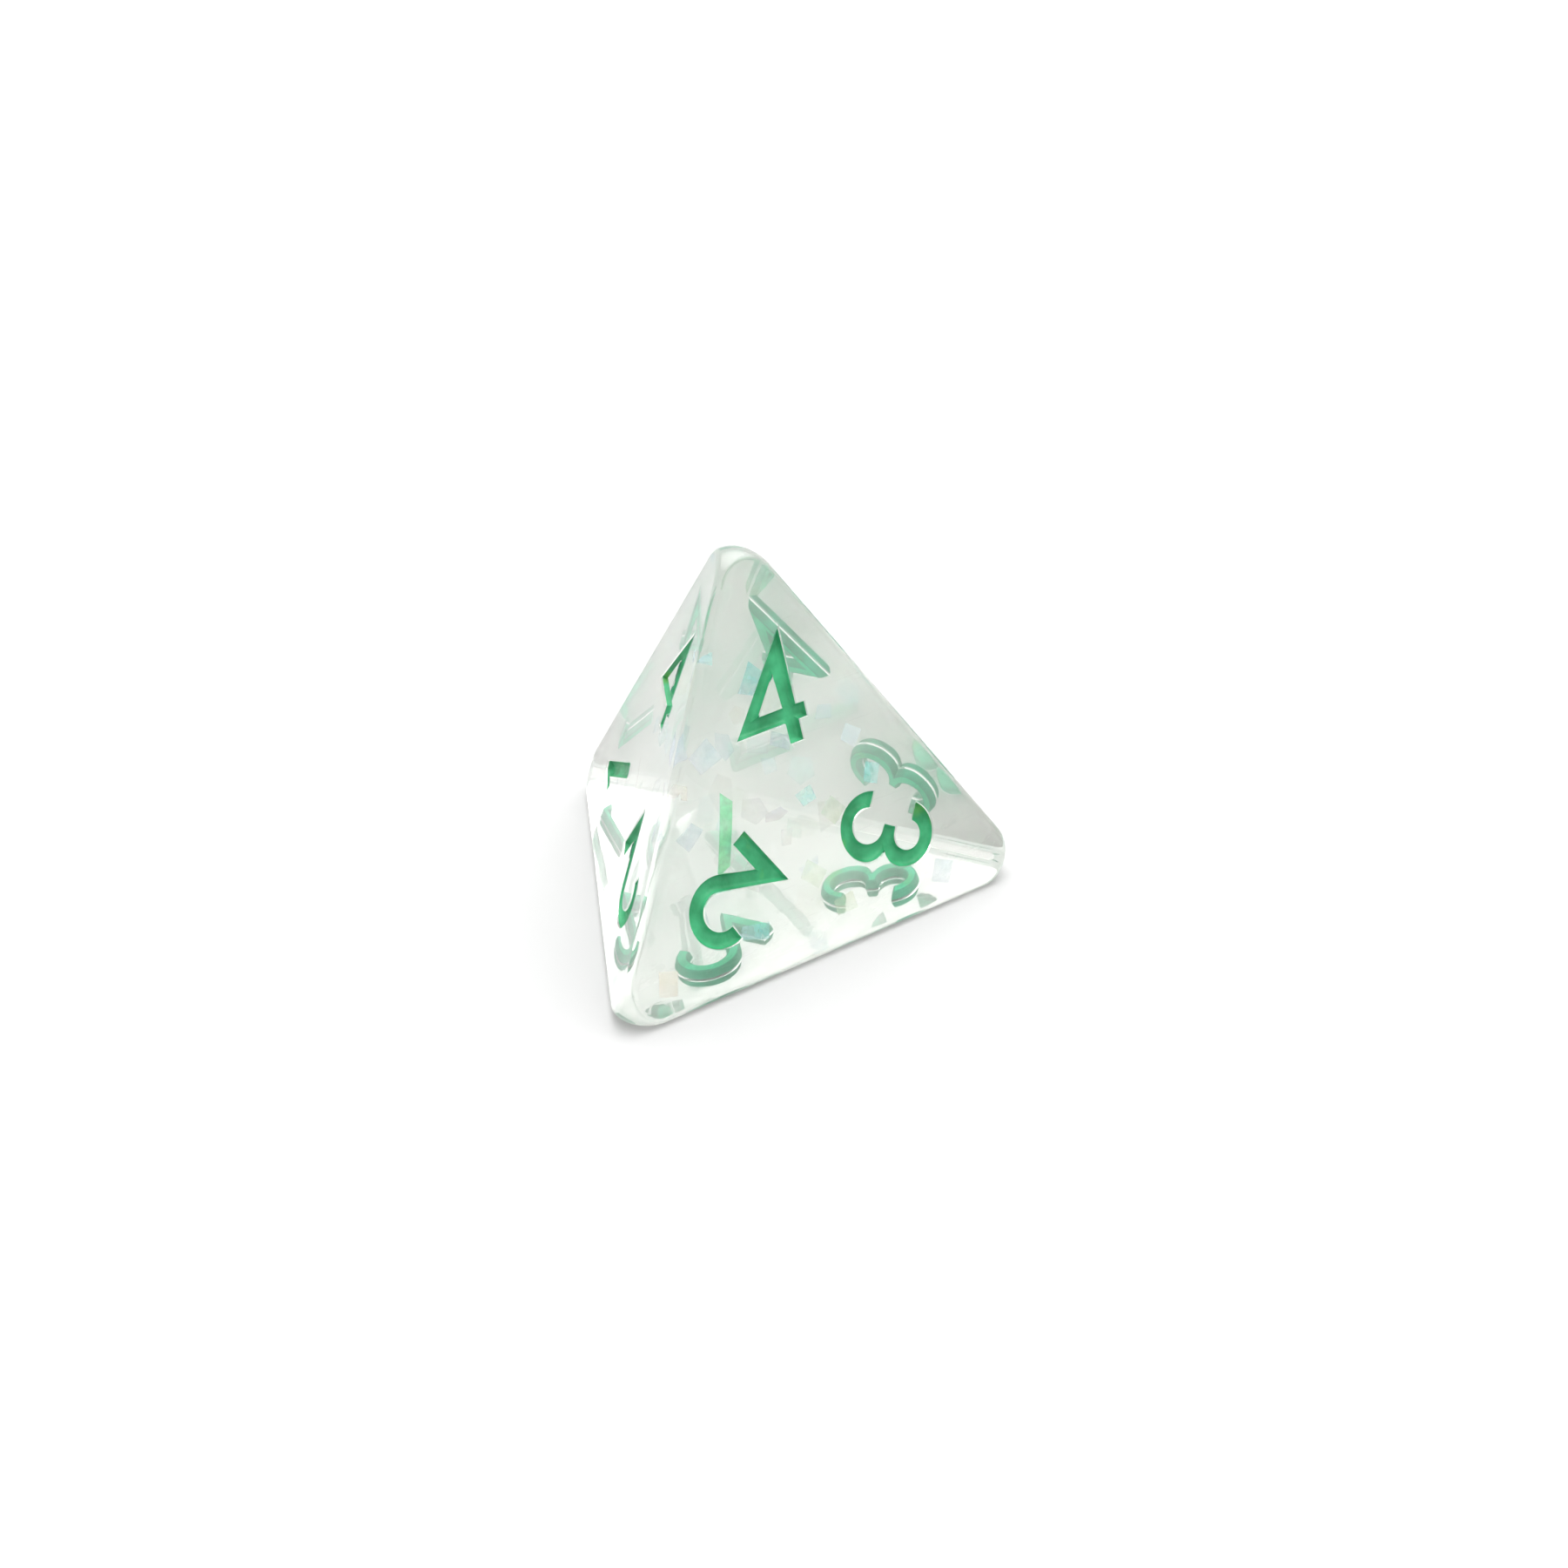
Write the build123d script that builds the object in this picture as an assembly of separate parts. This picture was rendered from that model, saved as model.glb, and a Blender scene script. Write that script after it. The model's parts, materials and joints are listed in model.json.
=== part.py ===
from build123d import *
from math import asin, cos, degrees, pi, radians, sin, sqrt
import os
import random

# A four-sided gaming die: a tetrahedron cast in clear resin with eased edges and domed corners,
# with three engraved and painted numerals on each face and snips of iridescent film cast inside.
# Millimetres, +Z up. The die rests on its base face, and the origin is that face's centre.
# The front face looks towards -Y. Each corner has a number, and every numeral stands near the
# corner it names, with its top towards that corner.

# ---- driving dimensions ----
sharp_edge = 21.2        # edge of the tetrahedron before it is rounded
edge_radius = 0.35       # rounding of every edge
dome_radius = 1.70       # rounding of every corner
dome_inset = 3.35        # from the tetrahedron's sharp corner to the centre of the corner's dome
dome_start = 0.97        # from the dome's centre to where the dome begins, towards the corner
engraving_depth = 0.38   # face to floor of a numeral's groove
paint_depth = 0.20       # face to the surface of the paint in the groove
tool_overrun = 0.5       # how far the cutters start outside the die

# from a face's centre to the centre of each numeral
numeral_radius = {1: 4.50, 2: 4.45, 3: 4.30, 4: 4.95}

# ---- film flakes ----
flake_thickness = 0.04

# Flakes close behind the front face. Middle: to the right, up and behind the face's centre.
# Then half the length, half the width, the turn within the face and the tilt out of it, in degrees.
near_flakes = [
    (-2.9, -4.1, 1.0, 0.66, 0.34, -12, 8),
    (-3.1, 3.2, 1.6, 0.62, 0.50, 25, 14),
    (-2.15, 6.9, 1.1, 0.26, 0.22, 70, 10),
    (-0.4, 5.4, 1.5, 0.66, 0.46, 60, -16),
    (1.0, 0.2, 1.8, 0.42, 0.34, 15, 20),
    (0.2, 2.8, 1.2, 0.46, 0.32, -30, 12),
    (2.0, -0.7, 1.5, 0.52, 0.44, 40, -10),
    (1.5, -4.5, 1.2, 0.48, 0.40, 5, 12),
    (-7.2, -4.7, 1.1, 0.52, 0.46, 80, 6),
    (-4.5, 2.2, 1.3, 0.30, 0.16, 75, 20),
    (-0.9, 3.9, 0.9, 0.20, 0.12, 30, 25),
    (6.2, -4.8, 1.0, 0.56, 0.46, -25, 6),
    (-3.25, 0.1, 1.0, 1.45, 0.32, 70, 10),
    (3.6, 1.9, 1.6, 0.44, 0.36, 50, 15),
    (2.6, 3.2, 1.5, 0.40, 0.30, -15, -18),
    (4.0, 0.2, 1.2, 0.50, 0.32, 65, 10),
    (-4.6, 0.4, 1.6, 0.50, 0.40, 35, -12),
    (0.6, -3.0, 1.9, 0.55, 0.42, -50, 22),
]

# Flakes scattered through the rest of the die.
flake_count = 24
flake_reach = (0.45, 0.95)   # smallest and largest distance from a flake's middle to a corner
flake_cover = 1.75           # least resin between a flake's middle and the faces
flake_gap = 0.10             # least gap between two neighbouring flakes
flake_seed = 11

# ---- places worked out from the driving dimensions ----
tri_height = sharp_edge * sqrt(3) / 2
height = sharp_edge * sqrt(2 / 3)
corners = {
    1: Vector(0, 2 * tri_height / 3, 0),
    2: Vector(-sharp_edge / 2, -tri_height / 3, 0),
    3: Vector(sharp_edge / 2, -tri_height / 3, 0),
    4: Vector(0, 0, height),
}
# each face's corners seen from outside: top, lower left, lower right
faces = {
    "front": (4, 2, 3),
    "left": (4, 1, 2),
    "right": (4, 3, 1),
    "base": (1, 3, 2),
}


def face_centre(face):
    a, b, c = (corners[n] for n in faces[face])
    return (a + b + c) / 3


def face_normal(face):
    top, left, right = (corners[n] for n in faces[face])
    return (right - left).cross(top - left).normalized()


def face_plane(face):
    """The face's own plane: x to the right and y up, seen from outside."""
    up = (corners[faces[face][0]] - face_centre(face)).normalized()
    return Plane(face_centre(face), x_dir=up.cross(face_normal(face)), z_dir=face_normal(face))


def numeral_plane(face, number):
    """Where a numeral is drawn: its top points to the corner with its number."""
    up = (corners[number] - face_centre(face)).normalized()
    return Plane(
        face_centre(face) + up * numeral_radius[number],
        x_dir=up.cross(face_normal(face)),
        z_dir=face_normal(face),
    )


# ---- numerals, drawn upright about their own centre ----
def on_circle(centre, radius, degrees):
    return (centre[0] + radius * cos(radians(degrees)), centre[1] + radius * sin(radians(degrees)))


def arc(centre, radius, start, end):
    """An arc of a circle from one angle to another, in degrees."""
    middle = (start + end) / 2
    return ThreePointArc(
        on_circle(centre, radius, start),
        on_circle(centre, radius, middle),
        on_circle(centre, radius, end),
    )


def numeral_one():
    outline = Polyline(
        (0.54, -2.26), (0.54, 2.26), (0.18, 2.26), (-0.86, 1.34), (-0.50, 0.90),
        (-0.10, 1.25), (-0.10, -2.26), close=True,
    )
    return make_face(outline)


def numeral_two():
    bowl_centre = (0.0, 0.76)
    outer_radius = 1.47
    inner_radius = 0.80
    hook_angle = 176
    outer = arc(bowl_centre, outer_radius, -41, hook_angle)
    hook = Line(outer @ 1, on_circle(bowl_centre, inner_radius, hook_angle))
    inner = arc(bowl_centre, inner_radius, hook_angle, -44)
    foot = Polyline(
        inner @ 1, (-1.52, -2.19), (1.43, -2.19), (1.43, -1.47), (-0.04, -1.45), outer @ 0,
    )
    return make_face(Wire([*outer.edges(), *hook.edges(), *inner.edges(), *foot.edges()]))


def numeral_three():
    upper_outer = arc((-0.09, 0.90), 1.34, 173, 0)
    notch = (0.76, 0.07)
    upper_waist = TangentArc(upper_outer @ 1, notch, tangent=(0, -1))
    lower_outer = arc((-0.02, -0.85), 1.43, 0, -172)
    lower_waist = TangentArc(lower_outer @ 0, notch, tangent=(0, 1))
    lower_inner = arc((-0.04, -0.96), 0.74, -172, 90)
    upper_inner = arc((-0.06, 1.00), 0.62, -90, 174)
    middle_bar = Polyline(lower_inner @ 1, (-0.27, -0.20), (-0.27, 0.37), upper_inner @ 0)
    lower_hook = Line(lower_outer @ 1, lower_inner @ 0)
    upper_hook = Line(upper_inner @ 1, upper_outer @ 0)
    pieces = (
        upper_outer, upper_waist, lower_waist, lower_outer, lower_hook,
        lower_inner, middle_bar, upper_inner, upper_hook,
    )
    return make_face(Wire([edge for piece in pieces for edge in piece.edges()]))


def numeral_four():
    outline = Polyline(
        (0.88, 2.35), (0.90, -0.80), (1.30, -0.82), (1.30, -1.42), (0.90, -1.42), (0.90, -2.27),
        (0.26, -2.27), (0.24, -1.41), (-2.09, -1.41), close=True,
    )
    counter = Polyline((0.15, 0.63), (0.25, -0.79), (-0.91, -0.79), close=True)
    return make_face(outline) - make_face(counter)


numerals = {1: numeral_one, 2: numeral_two, 3: numeral_three, 4: numeral_four}


def groove(face, number):
    """The volume that engraving takes out of the body, reaching past the face."""
    start = numeral_plane(face, number).offset(tool_overrun)
    return extrude(start * numerals[number](), amount=-(engraving_depth + tool_overrun))


def paint(face, number):
    """The paint that lies on the groove's floor."""
    surface = numeral_plane(face, number).offset(-paint_depth)
    return extrude(surface * numerals[number](), amount=-(engraving_depth - paint_depth))


# ---- film flakes ----
def cover(point):
    """Least distance from a point inside the die to its four faces."""
    return min((face_centre(face) - point).dot(face_normal(face)) for face in faces)


def random_direction(rng):
    z = rng.uniform(-1, 1)
    turn = rng.uniform(0, 2 * pi)
    flat = sqrt(1 - z * z)
    return Vector(flat * cos(turn), flat * sin(turn), z)


def snips(sides, half_length, half_width, turn, rng):
    """The corners of a snip of film with straight cut sides."""
    points = []
    for i in range(sides):
        angle = radians(turn + (i + rng.uniform(-0.14, 0.14)) * 360 / sides)
        share = rng.uniform(0.86, 1)
        points.append((half_length * share * cos(angle), half_width * share * sin(angle)))
    return points


def near_flake(right, up, depth, half_length, half_width, turn, tilt, rng):
    """A four-sided snip behind the front face, nearly level with it."""
    front = face_plane("front")
    middle = front.from_local_coords(Vector(right, up, -depth))
    facing = front.z_dir * cos(radians(tilt)) + front.y_dir * sin(radians(tilt))
    plane = Plane(middle, x_dir=front.x_dir, z_dir=facing)
    outline = snips(4, half_length * sqrt(2), half_width * sqrt(2), 45, rng)
    snip = Rot(0, 0, turn) * make_face(Polyline(*outline, close=True))
    return extrude(plane * snip, amount=flake_thickness)


def place_flakes():
    """A middle and a reach for each scattered flake, clear of the engraving and of each other."""
    rng = random.Random(flake_seed)
    front = face_plane("front")
    placed = [
        (front.from_local_coords(Vector(right, up, -depth)), max(half_length, half_width) * sqrt(2))
        for right, up, depth, half_length, half_width, turn, tilt in near_flakes
    ]
    taken = len(placed)
    while len(placed) < taken + flake_count:
        reach = rng.uniform(*flake_reach)
        middle = Vector(
            rng.uniform(-sharp_edge / 2, sharp_edge / 2),
            rng.uniform(-tri_height / 3, 2 * tri_height / 3),
            rng.uniform(0, height),
        )
        if cover(middle) < flake_cover:
            continue
        if all((middle - other).length > reach + r + flake_gap for other, r in placed):
            placed.append((middle, reach))
    return placed[taken:]


def scattered_flake(middle, reach, rng):
    """A snip of film with four or five straight cut sides, facing any way."""
    outline = snips(rng.choice((4, 4, 5)), reach, reach, rng.uniform(0, 360), rng)
    plane = Plane(middle, z_dir=random_direction(rng))
    return extrude(plane * make_face(Polyline(*outline, close=True)), amount=flake_thickness)


# ---- the pieces ----
def make_paints():
    return {
        f"paint_{face}_{number}": paint(face, number)
        for face in faces for number in sorted(faces[face])
    }


def make_flakes():
    rng = random.Random(flake_seed + 1)
    near = [near_flake(*flake, rng) for flake in near_flakes]
    scattered = [scattered_flake(middle, reach, rng) for middle, reach in place_flakes()]
    return {f"film_flake_{i:02d}": flake for i, flake in enumerate(near + scattered, start=1)}


def corner_cutter():
    """What rounding takes off a corner: all beyond the dome. The dome's centre is its origin."""
    first = degrees(asin(dome_start / dome_radius))
    dome = arc((0, 0), dome_radius, first, 90)
    beyond = dome_inset + tool_overrun
    rest = Polyline(dome @ 1, (0, beyond), (beyond, beyond), (beyond, dome_start), dome @ 0)
    return revolve(Plane.XZ * make_face(Wire([*dome.edges(), *rest.edges()])), Axis.Z, 360)


def make_resin_body(flakes):
    middle = sum(corners.values(), Vector()) / len(corners)
    body = ConvexPolyhedron(list(corners.values()))
    body = fillet(body.edges(), edge_radius)
    for corner in corners.values():
        outward = (corner - middle).normalized()
        body -= Plane(corner - outward * dome_inset, z_dir=outward) * corner_cutter()
    for face in faces:
        for number in faces[face]:
            body -= groove(face, number)
    for piece in flakes.values():
        body -= piece
    return body


flakes = make_flakes()
pieces = {"resin_body": make_resin_body(flakes), **make_paints(), **flakes}

os.makedirs("parts", exist_ok=True)
for name, piece in pieces.items():
    export_step(piece, f"parts/{name}.step")
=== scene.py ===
import json
import math
import random

import bmesh
import bpy
import numpy as np
from mathutils import Matrix, Vector
from mathutils.geometry import delaunay_2d_cdt


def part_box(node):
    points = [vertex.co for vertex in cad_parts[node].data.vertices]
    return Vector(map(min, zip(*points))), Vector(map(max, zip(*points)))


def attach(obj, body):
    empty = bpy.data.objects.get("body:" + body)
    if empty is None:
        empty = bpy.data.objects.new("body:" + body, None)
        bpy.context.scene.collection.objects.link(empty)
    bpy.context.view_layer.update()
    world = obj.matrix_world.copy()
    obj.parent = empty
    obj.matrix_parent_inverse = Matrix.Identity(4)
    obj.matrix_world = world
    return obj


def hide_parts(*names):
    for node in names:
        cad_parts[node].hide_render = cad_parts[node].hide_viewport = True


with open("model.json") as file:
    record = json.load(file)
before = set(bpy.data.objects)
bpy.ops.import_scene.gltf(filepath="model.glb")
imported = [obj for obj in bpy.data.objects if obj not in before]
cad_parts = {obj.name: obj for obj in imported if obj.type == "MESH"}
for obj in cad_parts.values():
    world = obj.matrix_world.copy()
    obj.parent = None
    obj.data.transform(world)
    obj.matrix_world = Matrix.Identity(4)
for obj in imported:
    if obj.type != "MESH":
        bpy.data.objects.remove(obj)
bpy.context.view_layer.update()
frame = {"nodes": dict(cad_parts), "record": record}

# The looks of a clear four-sided gaming die. Meshes are worked out in millimetres and turned into
# metres when they are made. The faces come from the record's mounts, and each numeral and flake is
# placed by its CAD node.

MM = 0.001
JOIN_DISTANCE = 1e-4     # points closer than this are one point
FILL_TOLERANCE = 1e-6    # for the triangles over a flat area
SMOOTH_BELOW = 32.0      # degrees between two facets that still shade as one surface
NORMAL_WITHIN = 24.0     # degrees between a facet and the surface whose exact normal it takes

# ---- the die: faces and edges as in the CAD, and corner domes up to 0.06 mm inside ----
SHARP_EDGE = 21.2
EDGE_RADIUS = 0.35
DOME_CORE = 1.33         # a corner's dome is a ball of this radius, grown by the edge radius
EDGE_STEPS = 24          # facets round an edge; an even number
CREASE_STEPS = 36        # facets round a flat face's rounded corner
DOME_STEPS = 14          # facets from a dome's middle to its rim

# ---- camera ----
CAMERA_AIM = (1.59, -0.75, 4.84)
CAMERA_DISTANCE = 140.2
CAMERA_AZIMUTH = 35.4
CAMERA_ELEVATION = 31.06
CAMERA_ROLL = -1.52
CAMERA_LENS = 79.97
SENSOR = 36.0

# each face's corners, first the one that the face's own y points to; each has its numeral beside it
CORNER_NAMES = {"front": (4, 2, 3), "left": (4, 1, 2), "right": (4, 3, 1), "base": (1, 3, 2)}


# ---- numerals, drawn upright about their own centre: anticlockwise outside, clockwise counter ----
ARC_STEP = 5.0           # degrees


def arc(centre, radius, start, end):
    """Points round a centre from one angle to another, in degrees."""
    steps = max(2, round(abs(end - start) / ARC_STEP))
    angles = [math.radians(start + (end - start) * i / steps) for i in range(steps + 1)]
    return [(centre[0] + radius * math.cos(a), centre[1] + radius * math.sin(a)) for a in angles]


def tangent_arc(start, end, tangent):
    """An arc from start, leaving along tangent, to end."""
    s, e = Vector(start), Vector(end)
    normal = Vector((-tangent[1], tangent[0]))
    chord = e - s
    radius = chord.length_squared / (2 * chord.dot(normal))
    centre = s + normal * radius
    first = math.degrees(math.atan2(s.y - centre.y, s.x - centre.x))
    last = math.degrees(math.atan2(e.y - centre.y, e.x - centre.x))
    turn = (last - first + 180) % 360 - 180
    return arc(centre, abs(radius), first, first + turn)


def numeral_one():
    return [[
        (0.54, -2.26), (0.54, 2.26), (0.18, 2.26), (-0.86, 1.34), (-0.50, 0.90), (-0.10, 1.25),
        (-0.10, -2.26),
    ]]


def numeral_two():
    bowl = (0.0, 0.76)
    outer = arc(bowl, 1.47, -41, 176)
    inner = arc(bowl, 0.80, 176, -44)
    foot = [(-1.52, -2.19), (1.43, -2.19), (1.43, -1.47), (-0.04, -1.45)]
    return [outer + inner + foot]


def numeral_three():
    notch = (0.76, 0.07)
    upper = arc((-0.09, 0.90), 1.34, 0, 173)
    upper_inner = arc((-0.06, 1.00), 0.62, 174, -90)
    bar = [(-0.27, 0.37), (-0.27, -0.20)]
    lower_inner = arc((-0.04, -0.96), 0.74, 90, -172)
    lower = arc((-0.02, -0.85), 1.43, -172, 0)
    lower_waist = tangent_arc((1.41, -0.85), notch, (0, 1))
    upper_waist = tangent_arc((1.25, 0.90), notch, (0, -1))[::-1]
    return [upper + upper_inner + bar + lower_inner + lower + lower_waist[1:-1] + upper_waist[:-1]]


def numeral_four():
    outline = [
        (0.88, 2.35), (-2.09, -1.41), (0.24, -1.41), (0.26, -2.27), (0.90, -2.27), (0.90, -1.42),
        (1.30, -1.42), (1.30, -0.82), (0.90, -0.80),
    ]
    return [outline, [(0.15, 0.63), (0.25, -0.79), (-0.91, -0.79)]]


NUMERALS = {1: numeral_one, 2: numeral_two, 3: numeral_three, 4: numeral_four}


def area(loop):
    """Positive for a loop that runs anticlockwise."""
    return 0.5 * sum(a[0] * b[1] - b[0] * a[1] for a, b in zip(loop, loop[1:] + loop[:1]))


def numeral_loops(number):
    """The numeral's loops with the stroke always on the left of each line."""
    outline, *counters = NUMERALS[number]()
    loops = [outline if area(outline) > 0 else outline[::-1]]
    return loops + [c if area(c) < 0 else c[::-1] for c in counters]


MITRE_LIMIT = 2.4        # how far a corner may move, in times the inset
LEAST_OPENING = 1e-3     # keeps a nearly reversed corner's mitre finite


def inset(loop, distance):
    """The loop moved into the stroke by distance, with its corners kept sharp."""
    points = np.array(loop)
    sides = np.roll(points, -1, axis=0) - points
    normals = np.stack([-sides[:, 1], sides[:, 0]], 1) / np.linalg.norm(sides, axis=1)[:, None]
    before = np.roll(normals, 1, axis=0)
    mitre = (before + normals) / np.maximum(1 + (before * normals).sum(1), LEAST_OPENING)[:, None]
    length = np.linalg.norm(mitre, axis=1)
    mitre *= np.minimum(1, MITRE_LIMIT / length)[:, None]
    moved = points + distance * mitre
    swallow_turned_sides(moved, points + distance * normals, sides)
    return moved


def swallow_turned_sides(moved, starts, sides):
    """Short sides that a move has turned round shrink to the point where their neighbours meet."""
    n = len(moved)
    gone = set()
    while True:
        made = np.roll(moved, -1, axis=0) - moved
        turned = {i for i in range(n) if i not in gone and (made[i] * sides[i]).sum() < 0}
        if not turned:
            return
        gone |= turned
        for i in gone:
            first, last = i, i
            while (first - 1) % n in gone:
                first -= 1
            while (last + 1) % n in gone:
                last += 1
            a, b = (first - 1) % n, (last + 1) % n
            reach = np.linalg.solve(np.stack([sides[a], -sides[b]], 1), starts[b] - starts[a])
            meeting = starts[a] + reach[0] * sides[a]
            for k in range(first, last + 2):
                moved[k % n] = meeting


def crossings(loops, x, y):
    """How many of the loops' lines a ray from the point crosses."""
    count = 0
    for loop in loops:
        for (ax, ay), (bx, by) in zip(loop, np.roll(loop, -1, axis=0)):
            if (ay > y) != (by > y) and x < ax + (y - ay) * (bx - ax) / (by - ay):
                count += 1
    return count


def fill(loops):
    """Triangles over the area between flat loops: points and index triples."""
    points = [Vector(p) for loop in loops for p in loop]
    lines = []
    first = 0
    for loop in loops:
        n = len(loop)
        lines += [(first + i, first + (i + 1) % n) for i in range(n)]
        first += n
    made, _, triangles, *_ = delaunay_2d_cdt(points, lines, [], 0, FILL_TOLERANCE)
    kept = []
    for t in triangles:
        middle = sum((made[i] for i in t), Vector((0, 0))) / 3
        if crossings(loops, *middle) % 2:
            kept.append(t)
    return [tuple(p) for p in made], kept


# ---- the rounded tetrahedron ----
class Face:
    """One face of the die: its plane, its numerals and the way it is read."""

    def __init__(self, name, corners):
        mount = next(m for m in frame["record"]["mounts"] if m["name"] == name + "_face")
        self.name = name
        self.numbers = CORNER_NAMES[name]
        self.centre = Vector(mount["pos_m"]) / MM
        self.normal = Vector(mount["axis"]).normalized()
        self.corners = corners
        self.up = (corners[self.numbers[0]] - self.centre).normalized()
        self.right = self.up.cross(self.normal)

    def point(self, x, y, depth=0.0):
        """A point given in the face's own x and y, and how far it lies inside the die."""
        return self.centre + self.right * x + self.up * y - self.normal * depth

    def flat(self, point):
        """A point's x and y in the face."""
        p = point - self.centre
        return (p.dot(self.right), p.dot(self.up))

    def numeral_axes(self, number):
        """Right and up of a numeral, within the face."""
        up = (self.corners[number] - self.centre).normalized()
        return up.cross(self.normal), up

    def numeral_origin(self, number):
        """The numeral's own centre, from the box of its CAD node."""
        right, up = self.numeral_axes(number)
        drawn = [right * x + up * y for loop in numeral_loops(number) for x, y in loop]
        low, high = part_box(f"paint_{self.name}_{number}")
        middle = (low + high) / (2 * MM)
        drawn_middle = Vector(
            [(min(p[i] for p in drawn) + max(p[i] for p in drawn)) / 2 for i in range(3)]
        )
        origin = middle - drawn_middle
        return self.flat(origin)

    def loops(self, number, distance=0.0):
        """The numeral's loops in the face's own x and y, moved into the stroke by distance."""
        right, up = self.numeral_axes(number)
        ox, oy = self.numeral_origin(number)
        ux, uy = up.dot(self.right), up.dot(self.up)
        rx, ry = right.dot(self.right), right.dot(self.up)
        placed = []
        for loop in numeral_loops(number):
            moved = inset(loop, distance)
            placed.append(np.array([(ox + x * rx + y * ux, oy + x * ry + y * uy) for x, y in moved]))
        return placed


TRI_HEIGHT = SHARP_EDGE * math.sqrt(3) / 2
SHARP_CORNERS = {
    1: Vector((0, 2 * TRI_HEIGHT / 3, 0)),
    2: Vector((-SHARP_EDGE / 2, -TRI_HEIGHT / 3, 0)),
    3: Vector((SHARP_EDGE / 2, -TRI_HEIGHT / 3, 0)),
    4: Vector((0, 0, SHARP_EDGE * math.sqrt(2 / 3))),
}
CENTROID = sum(SHARP_CORNERS.values(), Vector()) / 4
# the sharp tetrahedron moved inwards by the edge radius: the edges and creases turn about it
INNER_SHARE = 1 - 2 * math.sqrt(6) * EDGE_RADIUS / SHARP_EDGE
INNER_CORNERS = {n: CENTROID + (p - CENTROID) * INNER_SHARE for n, p in SHARP_CORNERS.items()}
OUTWARD = {n: (p - CENTROID).normalized() for n, p in SHARP_CORNERS.items()}
DOME_CENTRES = {n: p - OUTWARD[n] * DOME_CORE * math.sqrt(3) for n, p in INNER_CORNERS.items()}
CORE_ARC_RADIUS = DOME_CORE * math.sqrt(2 / 3)      # where the dome's core meets a face's inner plane
FACES = {name: Face(name, SHARP_CORNERS) for name in CORNER_NAMES}


def great_circle(a, b, share):
    """The unit vector on the way from one unit vector to another."""
    angle = a.angle(b)
    return (a * math.sin((1 - share) * angle) + b * math.sin(share * angle)) / math.sin(angle)


def core_arc(face, number):
    """The rounded corner of a face, on its inner plane: each point with its direction outwards."""
    centre = DOME_CENTRES[number]
    middle = centre + face.normal * (DOME_CORE / math.sqrt(3))
    up = (SHARP_CORNERS[number] - face.centre).normalized()
    right = up.cross(face.normal)
    points = []
    for i in range(CREASE_STEPS + 1):
        turn = math.radians(120 * i / CREASE_STEPS - 60)
        p = middle + (up * math.cos(turn) + right * math.sin(turn)) * CORE_ARC_RADIUS
        points.append((p, (p - centre).normalized()))
    return points


class Builder:
    """Collects faces in millimetres. A point may carry the surface's exact normal."""

    def __init__(self):
        self.mesh = bmesh.new()
        self.exact = self.mesh.verts.layers.float_vector.new("exact_normal")

    def point(self, position, normal=None):
        v = self.mesh.verts.new(position)
        if normal is not None:
            v[self.exact] = normal
        return v

    def face(self, points, material=0):
        f = self.mesh.faces.new(points)
        f.material_index = material
        f.smooth = True
        return f

    def strip(self, a, b, material=0, closed=True):
        """Quads between two rows of points."""
        n = len(a)
        for i in range(n if closed else n - 1):
            j = (i + 1) % n
            self.face((a[i], a[j], b[j], b[i]), material)

    def finish(self, name):
        """Joins the rows, works out the normals and returns the object, in metres."""
        bmesh.ops.remove_doubles(self.mesh, verts=self.mesh.verts, dist=JOIN_DISTANCE)
        bmesh.ops.triangulate(self.mesh, faces=[f for f in self.mesh.faces if len(f.verts) > 4])
        limit = math.radians(SMOOTH_BELOW)
        for e in self.mesh.edges:
            e.smooth = len(e.link_faces) == 2 and e.calc_face_angle(0) < limit
        data = bpy.data.meshes.new(name)
        self.mesh.to_mesh(data)
        self.mesh.free()
        exact = np.zeros(len(data.vertices) * 3, np.float32)
        data.attributes["exact_normal"].data.foreach_get("vector", exact)
        exact = exact.reshape(-1, 3)
        if np.abs(exact).sum() > 0:
            self.set_normals(data, exact)
        data.attributes.remove(data.attributes["exact_normal"])
        data.transform(Matrix.Scale(MM, 4))
        o = bpy.data.objects.new(name, data)
        bpy.context.scene.collection.objects.link(o)
        return o

    def set_normals(self, data, exact):
        """A corner takes its point's exact normal where its face lies along that surface."""
        corners = np.zeros(len(data.loops) * 3, np.float32)
        data.corner_normals.foreach_get("vector", corners)
        corners = corners.reshape(-1, 3)
        polygons = np.zeros(len(data.polygons) * 3, np.float32)
        data.polygons.foreach_get("normal", polygons)
        polygons = polygons.reshape(-1, 3)
        owner = np.repeat(np.arange(len(data.polygons)), [p.loop_total for p in data.polygons])
        vertex = np.array([loop.vertex_index for loop in data.loops])
        known = exact[vertex]
        along = (known * polygons[owner]).sum(1) > math.cos(math.radians(NORMAL_WITHIN))
        corners[along] = known[along]
        data.normals_split_custom_set([tuple(n) for n in corners])


def add_edge(builder, a, b, faces):
    """The rounded edge between two corners, from where one corner's dome ends to the next."""
    along = (SHARP_CORNERS[b] - SHARP_CORNERS[a]).normalized()
    setback = along * DOME_CORE * math.sqrt(2)
    rows = []
    for end in (INNER_CORNERS[a] + setback, INNER_CORNERS[b] - setback):
        row = []
        for i in range(EDGE_STEPS + 1):
            n = great_circle(faces[0].normal, faces[1].normal, i / EDGE_STEPS)
            row.append(builder.point(end + n * EDGE_RADIUS, n))
        rows.append(row)
    builder.strip(rows[0], rows[1], closed=False)


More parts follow.
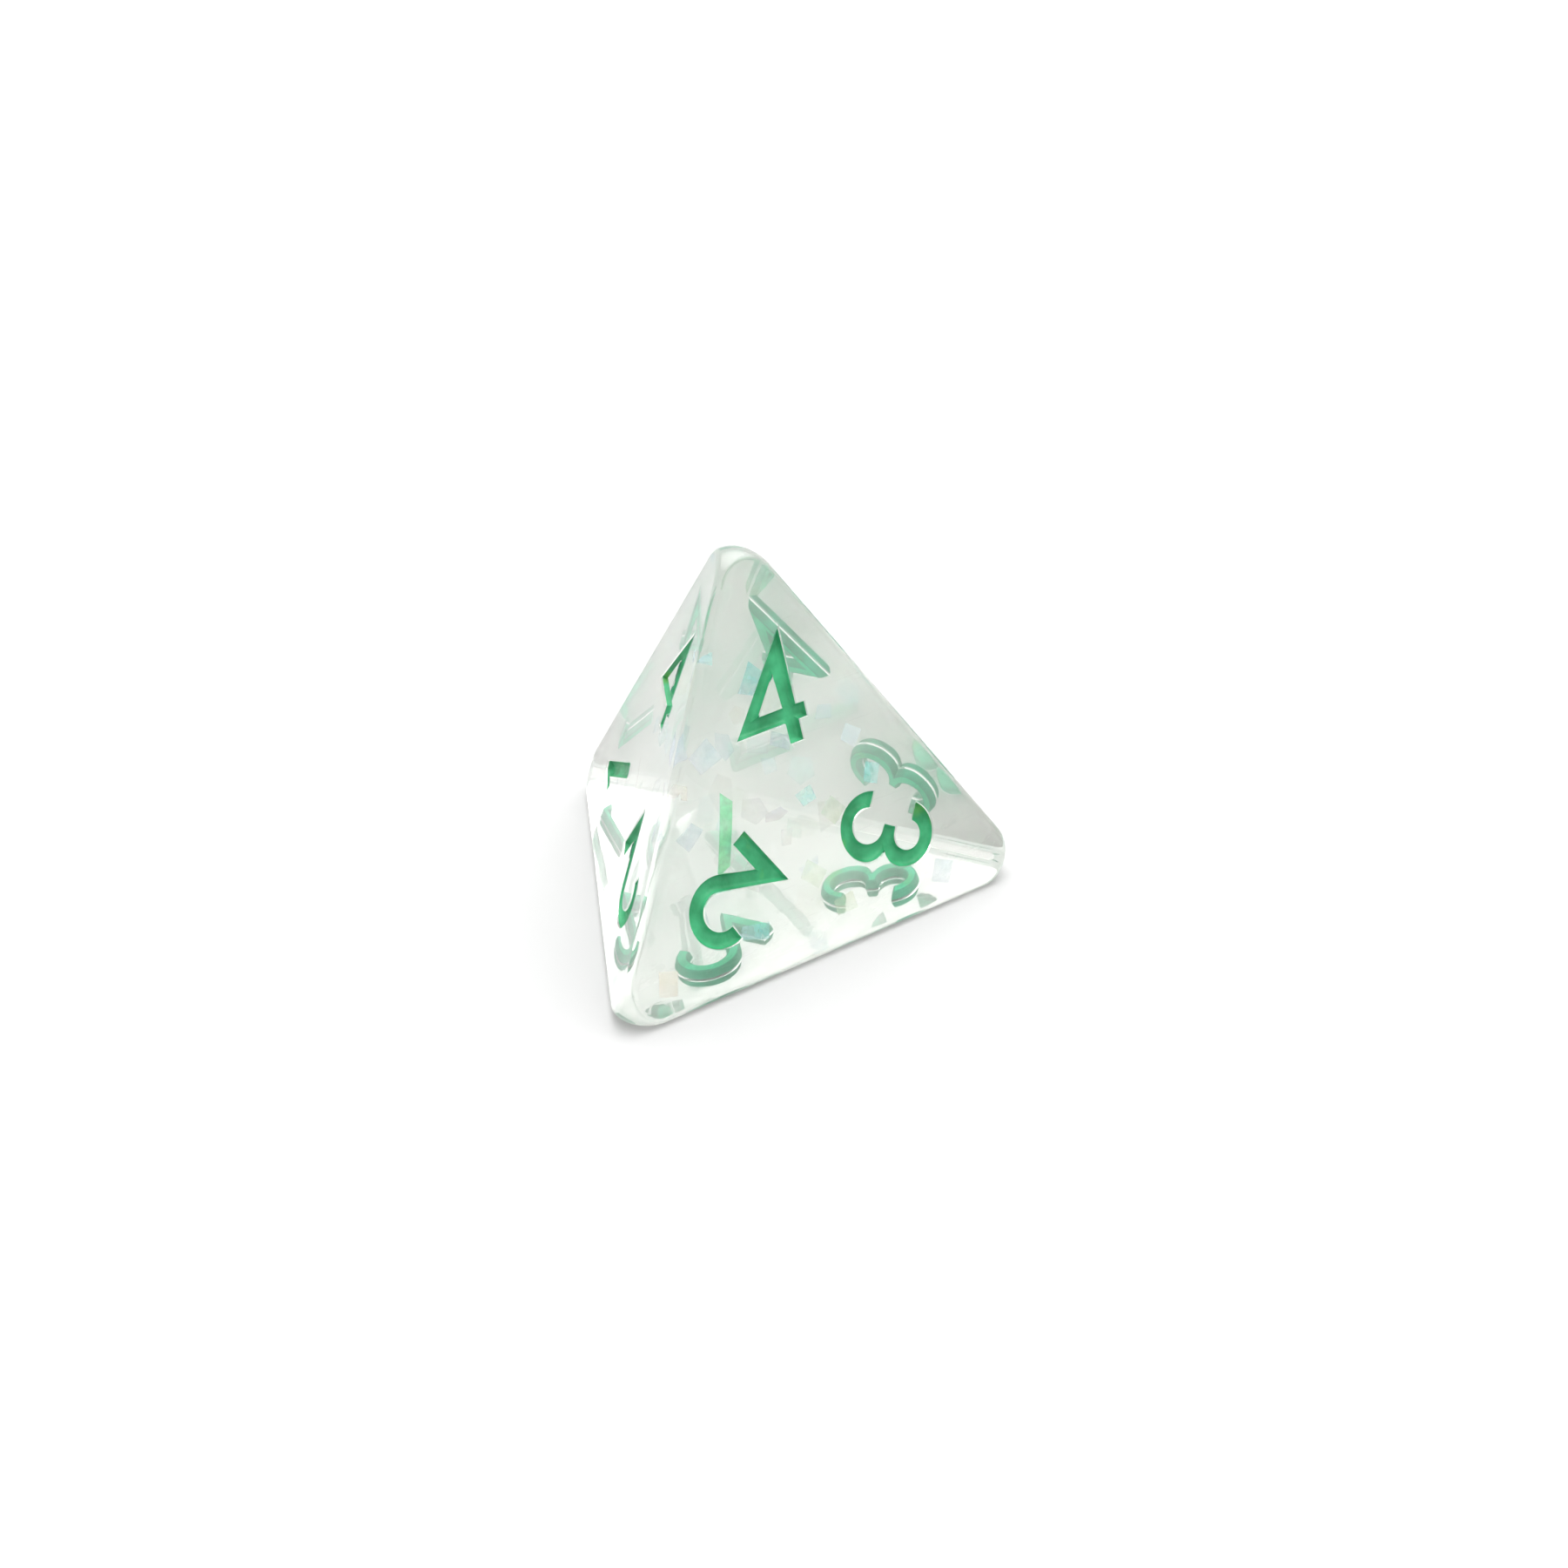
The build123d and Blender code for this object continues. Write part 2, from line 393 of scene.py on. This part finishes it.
def add_crease(builder, face, number):
    """Where a flat face turns into a corner's dome."""
    rows = []
    for p, outward in core_arc(face, number):
        row = []
        for i in range(EDGE_STEPS // 2 + 1):
            n = great_circle(face.normal, outward, 2 * i / EDGE_STEPS)
            row.append(builder.point(p + n * EDGE_RADIUS, n))
        rows.append(row)
    for a, b in zip(rows, rows[1:]):
        builder.strip(a, b, closed=False)


def add_dome(builder, number):
    """The dome over a corner: a ball's surface, from its middle to the three creases."""
    centre, axis = DOME_CENTRES[number], OUTWARD[number]
    radius = DOME_CORE + EDGE_RADIUS
    for face in FACES.values():
        if number not in face.numbers:
            continue
        rows = []
        for _, outward in core_arc(face, number):
            row = []
            for i in range(1, DOME_STEPS + 1):
                n = great_circle(axis, outward, i / DOME_STEPS)
                row.append(builder.point(centre + n * radius, n))
            rows.append(row)
        tip = builder.point(centre + axis * radius, axis)
        for a, b in zip(rows, rows[1:]):
            builder.strip(a, b, closed=False)
            builder.face((tip, a[0], b[0]))


# A groove from the face down to its floor: how far in from the numeral's outline, and how deep.
GROOVE = [
    (-0.045, 0.0), (-0.027, 0.005), (-0.010, 0.018), (0.0, 0.042), (0.007, 0.066), (0.022, 0.12),
    (0.062, 0.25), (0.085, 0.32), (0.115, 0.36), (0.165, 0.38),
]
PAINT_TOP = 4            # the paint begins at this row of the groove
# the paint's surface from the groove's wall inwards, in the same two measures
PAINT_SURFACE = [
    (0.018, 0.080), (0.036, 0.126), (0.062, 0.174), (0.100, 0.214), (0.145, 0.243), (0.190, 0.257),
    (0.225, 0.262),
]
PAINT_BITE = 0.004       # how far the paint keys into the resin
BITE_DOWN_FROM = 0.3     # deeper than this, the paint also keys downwards

# a paint piece's materials, in the order of its slots: the back's floor in a lighter copy of the green
# (painted light), the surface in the air, and the back's walls in a darker copy (painted shade)
LIGHTENED_BACK, IN_AIR, SHADED_WALLS = range(3)


def keyed(depth, bite):
    """A ring's depth, with the bite added near the groove's floor."""
    return depth + bite * (depth > BITE_DOWN_FROM)


def add_rows(builder, face, number, profile, materials=(0, 0), bite=0.0, exact_first=False):
    """Rings of a groove's wall, and a floor over the last one, with a material for each.

    Returns the first ring's loops.
    """
    wall_index, floor_index = materials
    previous = None
    first = None
    for distance, depth in profile:
        loops = face.loops(number, distance - bite)
        rings = []
        for loop in loops:
            normal = face.normal if exact_first and previous is None else None
            rings.append([builder.point(face.point(x, y, keyed(depth, bite)), normal) for x, y in loop])
        if previous:
            for a, b in zip(previous, rings):
                builder.strip(b, a, wall_index)
        else:
            first = loops
        previous = rings
    distance, depth = profile[-1]
    points, triangles = fill(face.loops(number, distance - bite))
    made = [builder.point(face.point(x, y, keyed(depth, bite))) for x, y in points]
    for t in triangles:
        corners = [made[i] for i in t]
        a, b, c = (v.co for v in corners)
        faces_out = (b - a).cross(c - a).dot(face.normal) > 0
        builder.face(corners if faces_out else corners[::-1], floor_index)
    return first


def make_resin_body():
    """The casting: rounded edges, domed corners, and flat faces round their numerals' grooves."""
    builder = Builder()
    pairs = [(a, b) for a in SHARP_CORNERS for b in SHARP_CORNERS if a < b]
    for a, b in pairs:
        add_edge(builder, a, b, [f for f in FACES.values() if a in f.numbers and b in f.numbers])
    for number in SHARP_CORNERS:
        add_dome(builder, number)
    for face in FACES.values():
        rim = []
        for number in face.numbers:
            add_crease(builder, face, number)
            rim += [face.flat(p) for p, _ in core_arc(face, number)][::-1]
        loops = [np.array(rim)]
        for number in face.numbers:
            loops += add_rows(builder, face, number, GROOVE, exact_first=True)
        points, triangles = fill(loops)
        made = [builder.point(face.point(x, y), face.normal) for x, y in points]
        for t in triangles:
            builder.face([made[i] for i in t])
    bmesh.ops.remove_doubles(builder.mesh, verts=builder.mesh.verts, dist=JOIN_DISTANCE)
    bmesh.ops.recalc_face_normals(builder.mesh, faces=builder.mesh.faces)
    return builder.finish("clear_resin_body")


def make_paint(face, number):
    """The paint in one groove: its back against the resin, with painted light on its floor and painted
    shade on its walls, and a dished surface in the air.
    """
    builder = Builder()
    back = GROOVE[PAINT_TOP:]
    add_rows(builder, face, number, back, materials=(SHADED_WALLS, LIGHTENED_BACK), bite=PAINT_BITE)
    distance, depth = GROOVE[PAINT_TOP]
    surface = [(distance - PAINT_BITE, depth)] + PAINT_SURFACE
    add_rows(builder, face, number, surface, materials=(IN_AIR, IN_AIR))
    bmesh.ops.remove_doubles(builder.mesh, verts=builder.mesh.verts, dist=JOIN_DISTANCE)
    bmesh.ops.recalc_face_normals(builder.mesh, faces=builder.mesh.faces)
    return builder.finish(f"green_paint_{face.name}_{number}")


# ---- film flakes ----
FILM_HALF_THICKNESS = 0.015
FILM_RINGS = (1.0, 0.82, 0.6, 0.36, 0.14)   # shares of the way from the middle to the rim
FILM_CUTS = 5            # pieces along each cut side
FILM_BEND = 0.10         # most rise at the rim, as a share of the flake's size
FILM_TWIST = 0.06        # the same for its twist
FILM_SEED = 4


def flat_outline(points):
    """A plane through thin points: their middle, two directions in it, and its normal."""
    middle = points.mean(axis=0)
    _, _, axes = np.linalg.svd(points - middle)
    return middle, axes[0], axes[1], axes[2]


def make_flake(node_name, rng):
    """A snip of film over its CAD node, bent a little, with thin cut edges."""
    node = frame["nodes"][node_name]
    points = np.array([tuple(node.matrix_world @ v.co) for v in node.data.vertices]) / MM
    middle, along, across, normal = flat_outline(points)
    flat = np.stack([(points - middle) @ along, (points - middle) @ across], 1)
    _, first = np.unique(flat.round(2), axis=0, return_index=True)
    flat = flat[first]
    flat = flat[np.argsort(np.arctan2(flat[:, 1], flat[:, 0]))]
    outline = []
    for p, q in zip(flat, np.roll(flat, -1, axis=0)):
        outline += [p + (q - p) * i / FILM_CUTS for i in range(FILM_CUTS)]
    outline = np.array(outline)
    size = np.abs(outline).max()
    bend, twist = rng.uniform(-FILM_BEND, FILM_BEND), rng.uniform(-FILM_TWIST, FILM_TWIST)
    builder = Builder()

    def at(u, v, side):
        rise = size * (bend * (u / size) ** 2 + twist * u * v / size ** 2)
        return Vector(middle + along * u + across * v + normal * (rise + side * FILM_HALF_THICKNESS))

    rims = []
    for side in (1, -1):
        rows = []
        for share in FILM_RINGS:
            rows.append([builder.point(at(u, v, side)) for u, v in outline * share])
        for a, b in zip(rows, rows[1:]):
            builder.strip(a, b)
        centre = builder.point(at(0, 0, side))
        for i, p in enumerate(rows[-1]):
            builder.face((p, rows[-1][(i + 1) % len(outline)], centre))
        rims.append(rows[0])
    builder.strip(rims[0], rims[1])
    bmesh.ops.recalc_face_normals(builder.mesh, faces=builder.mesh.faces)
    return builder.finish("iridescent_" + node_name)


# ---- materials ----
NOISE_ROUGHNESS = 0.55


def new_material(name):
    """A material with an empty node tree."""
    m = bpy.data.materials.new(name)
    m.use_nodes = True
    m.node_tree.nodes.clear()
    return m, m.node_tree


def add_node(tree, kind, **settings):
    """A node with its properties and input values set by name."""
    n = tree.nodes.new(kind)
    for key, value in settings.items():
        if key in n.bl_rna.properties:
            setattr(n, key, value)
        else:
            n.inputs[key.replace("_", " ")].default_value = value
    return n


def link(tree, output, node, name):
    tree.links.new(output, node.inputs[name])


def millimetres(tree):
    """Positions on the object, in millimetres."""
    where = add_node(tree, "ShaderNodeTexCoord")
    scale = add_node(tree, "ShaderNodeMapping")
    scale.inputs["Scale"].default_value = (1 / MM, 1 / MM, 1 / MM)
    link(tree, where.outputs["Object"], scale, "Vector")
    return scale.outputs[0]


def noise(tree, where, scale, detail=3.0):
    """Soft noise, with scale in cycles to one unit of where."""
    n = add_node(tree, "ShaderNodeTexNoise", Scale=scale, Detail=detail, Roughness=NOISE_ROUGHNESS)
    link(tree, where, n, "Vector")
    return n.outputs["Fac"]


def ramp(tree, fac, low, high, start=0.0, end=1.0):
    """The input's range low to high turned into start to end."""
    n = add_node(tree, "ShaderNodeMapRange")
    for name, value in (("From Min", low), ("From Max", high), ("To Min", start), ("To Max", end)):
        n.inputs[name].default_value = value
    link(tree, fac, n, "Value")
    return n.outputs[0]


def mix(tree, fac, a, b):
    """Colour a where fac is 0 and b where it is 1."""
    n = add_node(tree, "ShaderNodeMix", data_type="RGBA")
    link(tree, fac, n, 0)
    for socket, value in ((n.inputs[6], a), (n.inputs[7], b)):
        if isinstance(value, tuple):
            socket.default_value = (*value, 1)
        else:
            tree.links.new(value, socket)
    return n.outputs[2]


def bump(tree, heights):
    """The normal of a surface with small heights, each in millimetres."""
    normal = None
    for height, depth in heights:
        n = add_node(tree, "ShaderNodeBump", Strength=1.0, Distance=depth * MM)
        link(tree, height, n, "Height")
        if normal is not None:
            link(tree, normal, n, "Normal")
        normal = n.outputs[0]
    return normal


SCRATCH_STRETCH = (0.35, 7.0, 7.0)      # noise cycles a millimetre along a scratch and across it
SCRATCH_EDGE = 0.05


def scratches(tree, turn, threshold):
    """Fine straight marks in one direction: 1 on a mark, 0 off it."""
    where = add_node(tree, "ShaderNodeTexCoord")
    place = add_node(tree, "ShaderNodeMapping")
    place.inputs["Rotation"].default_value = turn
    place.inputs["Scale"].default_value = [s / MM for s in SCRATCH_STRETCH]
    link(tree, where.outputs["Object"], place, "Vector")
    return ramp(tree, noise(tree, place.outputs[0], 1.0, 1.0), threshold, threshold + SCRATCH_EDGE)


RESIN_IOR = 1.53
RESIN_TINTS = ((0.994, 0.992, 0.946), (0.999, 0.997, 0.958))
WEAR_ROUGHNESS = 0.035   # most roughness where the polish is worn
SCRATCH_ROUGHNESS = 0.12
WAVE_HEIGHT = 0.010
RIPPLE_HEIGHT = 0.0012
SCRATCH_DEPTH = 0.0012
HAZE_DENSITY = 165.0     # per metre
HAZE_FORWARD = 0.7       # how far the haze scatters onwards rather than all round
HAZE_COLOUR = (0.9998, 1.0, 0.9972, 1)


def resin_material():
    """Polished cast resin: faint haze inside, gentle waves from polishing, a few fine scratches."""
    m, tree = new_material("clear_resin_polished")
    out = add_node(tree, "ShaderNodeOutputMaterial")
    shader = add_node(tree, "ShaderNodeBsdfPrincipled", IOR=RESIN_IOR)
    shader.inputs["Transmission Weight"].default_value = 1.0
    where = millimetres(tree)
    waves = noise(tree, where, 0.55, 1.0)
    ripples = noise(tree, where, 2.6, 2.0)
    marks = scratches(tree, (0.3, 0.5, 0.7), 0.70)
    more_marks = scratches(tree, (1.2, 0.1, 2.1), 0.72)
    link(tree, mix(tree, waves, *RESIN_TINTS), shader, "Base Color")
    wear = ramp(tree, noise(tree, where, 0.8, 4.0), 0.45, 0.75, 0.0, WEAR_ROUGHNESS)
    worn = add_node(tree, "ShaderNodeMath", operation="MULTIPLY_ADD", use_clamp=True)
    link(tree, marks, worn, 0)
    worn.inputs[1].default_value = SCRATCH_ROUGHNESS
    link(tree, wear, worn, 2)
    link(tree, worn.outputs[0], shader, "Roughness")
    heights = [
        (waves, WAVE_HEIGHT), (ripples, RIPPLE_HEIGHT),
        (marks, -SCRATCH_DEPTH), (more_marks, -SCRATCH_DEPTH),
    ]
    link(tree, bump(tree, heights), shader, "Normal")
    tree.links.new(shader.outputs[0], out.inputs["Surface"])
    haze = add_node(tree, "ShaderNodeVolumeScatter", Density=HAZE_DENSITY, Anisotropy=HAZE_FORWARD)
    haze.inputs["Color"].default_value = HAZE_COLOUR
    tree.links.new(haze.outputs[0], out.inputs["Volume"])
    return m


GRAIN_ROUGHNESS = 0.12   # how far the grain moves the paint's roughness either way
GRAIN_HEIGHT = 0.012
PATCH_HEIGHT = 0.02


def paint_material(name, dark, light, worn, specular, roughness):
    """Green paint wiped into a groove: thicker and thinner patches, and a little grain."""
    m, tree = new_material(name)
    out = add_node(tree, "ShaderNodeOutputMaterial")
    shader = add_node(tree, "ShaderNodeBsdfPrincipled")
    shader.inputs["Specular IOR Level"].default_value = specular
    where = millimetres(tree)
    patches = ramp(tree, noise(tree, where, 0.9, 3.0), 0.32, 0.68)
    thin = ramp(tree, noise(tree, where, 0.55, 2.0), 0.62, 0.72)
    colour = mix(tree, thin, mix(tree, patches, dark, light), worn)
    link(tree, colour, shader, "Base Color")
    grain = noise(tree, where, 9.0, 3.0)
    smoothest, roughest = roughness - GRAIN_ROUGHNESS, roughness + GRAIN_ROUGHNESS
    link(tree, ramp(tree, grain, 0.3, 0.7, smoothest, roughest), shader, "Roughness")
    link(tree, bump(tree, [(grain, GRAIN_HEIGHT), (patches, PATCH_HEIGHT)]), shader, "Normal")
    tree.links.new(shader.outputs[0], out.inputs["Surface"])
    return m


# the near flakes of each film: cyan, blue, yellow, peach, green
NEAR_FLAKE_TINTS = ((1, 3, 4, 5, 16), (2, 6, 12, 14, 17), (7, 8, 18), (9, 10, 11), (13,))
FILM_IOR = 1.9
COATING_NANOMETRES = 420.0
COATING_IOR = 1.35
CRINKLE_HEIGHT = 0.04


def film_material(name, near, far, alpha):
    """Iridescent film: two tints that change across a snip, partly see-through."""
    m, tree = new_material(name)
    out = add_node(tree, "ShaderNodeOutputMaterial")
    shader = add_node(tree, "ShaderNodeBsdfPrincipled", Roughness=0.2, IOR=FILM_IOR)
    shader.inputs["Thin Film Thickness"].default_value = COATING_NANOMETRES
    shader.inputs["Thin Film IOR"].default_value = COATING_IOR
    where = millimetres(tree)
    bands = ramp(tree, noise(tree, where, 0.8, 1.0), 0.35, 0.65)
    link(tree, mix(tree, bands, near, far), shader, "Base Color")
    crinkle = noise(tree, where, 2.2, 2.0)
    link(tree, ramp(tree, crinkle, 0.3, 0.7, alpha * 0.6, alpha * 1.3), shader, "Alpha")
    link(tree, bump(tree, [(crinkle, CRINKLE_HEIGHT)]), shader, "Normal")
    tree.links.new(shader.outputs[0], out.inputs["Surface"])
    return m


FLOOR_TONES = ((0.375, 0.375, 0.375), (0.395, 0.395, 0.395))


def floor_material():
    """Matt card of a mid grey, which the strong light raises to white."""
    m, tree = new_material("pale_floor")
    out = add_node(tree, "ShaderNodeOutputMaterial")
    shader = add_node(tree, "ShaderNodeBsdfPrincipled", Roughness=0.9)
    where = millimetres(tree)
    link(tree, mix(tree, noise(tree, where, 0.02, 3.0), *FLOOR_TONES), shader, "Base Color")
    shader.inputs["Specular IOR Level"].default_value = 0.1
    tree.links.new(shader.outputs[0], out.inputs["Surface"])
    return m


def make_camera():
    """The camera, aimed along its azimuth and elevation and rolled a little about that line."""
    angles = (CAMERA_AZIMUTH, CAMERA_ELEVATION, CAMERA_ROLL)
    azimuth, elevation, roll = (math.radians(v) for v in angles)
    ahead = Vector((
        math.sin(azimuth) * math.cos(elevation),
        math.cos(azimuth) * math.cos(elevation),
        -math.sin(elevation),
    ))
    level = ahead.cross(Vector((0, 0, 1))).normalized()
    right = level * math.cos(roll) + level.cross(ahead) * math.sin(roll)
    up = right.cross(ahead)
    data = bpy.data.cameras.new("camera")
    data.lens = CAMERA_LENS
    data.sensor_width = SENSOR
    data.clip_start = 0.001
    camera = bpy.data.objects.new("camera", data)
    rotation = Matrix((right, up, -ahead)).transposed().to_4x4()
    place = (Vector(CAMERA_AIM) - ahead * CAMERA_DISTANCE) * MM
    camera.matrix_world = Matrix.Translation(place) @ rotation
    bpy.context.scene.collection.objects.link(camera)
    bpy.context.scene.camera = camera


FLOOR_HALF = 1.5         # metres
FLOOR_BELOW = 0.00002    # metres under the die, so that the two surfaces don't coincide


def make_floor():
    """A square of card under the die."""
    data = bpy.data.meshes.new("floor")
    ends = ((-1, -1), (1, -1), (1, 1), (-1, 1))
    points = [(x * FLOOR_HALF, y * FLOOR_HALF, -FLOOR_BELOW) for x, y in ends]
    data.from_pydata(points, [], [(0, 1, 2, 3)])
    floor = bpy.data.objects.new("floor", data)
    data.materials.append(floor_material())
    bpy.context.scene.collection.objects.link(floor)


BRIGHTEST = (0.30, 0.16, 0.94)          # the direction of the patch's middle
PATCH_EDGE = 0.7         # cosine of the patch's half angle
TENT_LIGHT = 1.30        # strength outside the patch
PATCH_LIGHT = 7.5        # strength at the patch's middle


def make_world():
    """A white light tent with one wide, soft, brighter patch overhead, a little behind the die."""
    world = bpy.data.worlds.new("light_tent")
    bpy.context.scene.world = world
    world.use_nodes = True
    tree = world.node_tree
    direction = add_node(tree, "ShaderNodeTexCoord")
    towards = add_node(tree, "ShaderNodeVectorMath", operation="DOT_PRODUCT")
    tree.links.new(direction.outputs["Generated"], towards.inputs[0])
    towards.inputs[1].default_value = Vector(BRIGHTEST).normalized()
    strength = ramp(tree, towards.outputs["Value"], PATCH_EDGE, 1, TENT_LIGHT, PATCH_LIGHT)
    background = tree.nodes["Background"]
    background.inputs["Color"].default_value = (1, 1, 1, 1)
    tree.links.new(strength, background.inputs["Strength"])


def set_render():
    """Plain tones, and enough bounces for light to cross the resin and its haze."""
    scene = bpy.context.scene
    scene.view_settings.view_transform = "Standard"
    cycles = scene.cycles
    cycles.max_bounces = 32
    cycles.transmission_bounces = 32
    cycles.glossy_bounces = 16
    cycles.diffuse_bounces = 5
    cycles.transparent_max_bounces = 48
    cycles.volume_bounces = 24


make_camera()
make_floor()
make_world()
set_render()

body = make_resin_body()
body.data.materials.append(resin_material())
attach(body, "root")
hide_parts("resin_body")

# the back's floor: a lighter, more saturated copy of the green, painted light where the paint is seen
# through the resin
lighter_back_paint = paint_material(
    "green_paint_back_lit_lighter", dark=(0.016, 0.50, 0.25), light=(0.050, 0.74, 0.43),
    worn=(0.12, 0.60, 0.23), specular=0.0, roughness=0.8,
)
# the back's walls: a darker copy of the green, painted shade that draws dark lines along the grooves
# seen through the resin
wall_paint_shaded = paint_material(
    "green_paint_walls_shaded", dark=(0.006, 0.24, 0.12), light=(0.024, 0.44, 0.25),
    worn=(0.06, 0.34, 0.12), specular=0.0, roughness=0.8,
)
in_air = paint_material(
    "green_paint_surface", dark=(0.014, 0.200, 0.074), light=(0.044, 0.350, 0.155),
    worn=(0.070, 0.30, 0.070), specular=0.30, roughness=0.45,
)
for face in FACES.values():
    for number in sorted(face.numbers):
        piece = make_paint(face, number)
        piece.data.materials.append(lighter_back_paint)
        piece.data.materials.append(in_air)
        piece.data.materials.append(wall_paint_shaded)
        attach(piece, "root")
        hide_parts(f"paint_{face.name}_{number}")

films = [
    film_material("film_cyan", (0.25, 0.80, 0.86), (0.50, 0.78, 0.90), alpha=0.36),
    film_material("film_blue", (0.55, 0.76, 0.94), (0.72, 0.70, 0.94), alpha=0.24),
    film_material("film_yellow", (0.90, 0.88, 0.58), (0.76, 0.90, 0.72), alpha=0.20),
    film_material("film_peach", (0.96, 0.80, 0.66), (0.95, 0.76, 0.84), alpha=0.22),
    film_material("film_green", (0.16, 0.68, 0.40), (0.36, 0.84, 0.60), alpha=0.80),
]
deep_films = [
    film_material("film_deep_cyan", (0.50, 0.88, 0.92), (0.74, 0.78, 0.96), alpha=0.19),
    film_material("film_deep_yellow", (0.95, 0.92, 0.62), (0.78, 0.93, 0.80), alpha=0.16),
    film_material("film_deep_peach", (0.97, 0.78, 0.68), (0.92, 0.74, 0.94), alpha=0.17),
]
tints = {name: film for film, names in zip(films, NEAR_FLAKE_TINTS) for name in names}
rng = random.Random(FILM_SEED)
flakes = sorted(name for name in frame["nodes"] if name.startswith("film_flake"))
for i, name in enumerate(flakes, start=1):
    piece = make_flake(name, rng)
    piece.data.materials.append(tints.get(i) or deep_films[i % len(deep_films)])
    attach(piece, "root")
    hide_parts(name)
